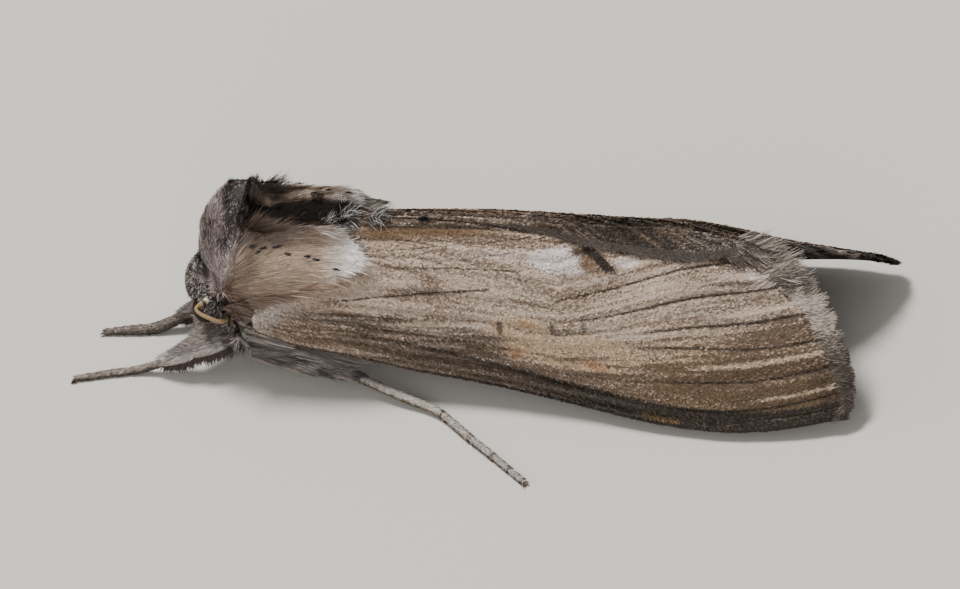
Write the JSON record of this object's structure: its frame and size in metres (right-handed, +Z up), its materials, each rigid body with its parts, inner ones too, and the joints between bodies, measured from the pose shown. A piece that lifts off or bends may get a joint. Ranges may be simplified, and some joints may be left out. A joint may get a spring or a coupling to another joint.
{
  "type": "moth at rest",
  "caption": "Hooded moth at rest on its feet, wings folded like a roof over the body and forelegs stretched ahead: a still, life-size display model.",
  "frame": {"origin": "centre of the overall box's footprint, on the floor that the feet stand on", "axes": "+X along the body towards the wing tips (the head towards -X), +Y towards the moth's right side, +Z up from the floor"},
  "size_m": [0.0306, 0.0135, 0.0083],
  "materials": {
    "grey_hair": "lilac-grey hair of the hood, head, palps and abdomen",
    "dark_hair": "near-black hair along the middle of the back",
    "fawn_hair": "long fawn hair over the wing bases, white at its rear end",
    "wing_scales": "grey-brown forewing scales with dark streaks",
    "hindwing_scales": "plain brownish grey scales",
    "leg_scales": "grey-brown leg scales and hair",
    "feeler": "yellow-brown ringed feeler",
    "eye": "smooth near-black eye"
  },
  "bodies": {
    "root": {"abdomen": "grey_hair", "antenna_left": "feeler", "antenna_right": "feeler", "collar": "grey_hair", "eye_left": "eye", "eye_right": "eye", "fore_femur_left": "leg_scales", "fore_femur_right": "leg_scales", "fore_tarsus_left": "leg_scales", "fore_tarsus_right": "leg_scales", "fore_tibia_left": "leg_scales", "fore_tibia_right": "leg_scales", "forewing_left": "wing_scales", "forewing_right": "wing_scales", "head": "grey_hair", "hind_femur_left": "leg_scales", "hind_femur_right": "leg_scales", "hind_tarsus_left": "leg_scales", "hind_tarsus_right": "leg_scales", "hind_tibia_left": "leg_scales", "hind_tibia_right": "leg_scales", "hindwing_left": "hindwing_scales", "hindwing_right": "hindwing_scales", "mid_femur_left": "leg_scales", "mid_femur_right": "leg_scales", "mid_tarsus_left": "leg_scales", "mid_tarsus_right": "leg_scales", "mid_tibia_left": "leg_scales", "mid_tibia_right": "leg_scales", "palp_left": "grey_hair", "palp_right": "grey_hair", "tegula_left": "fawn_hair", "tegula_right": "fawn_hair", "thorax": "dark_hair"}
  },
  "joints": []
}
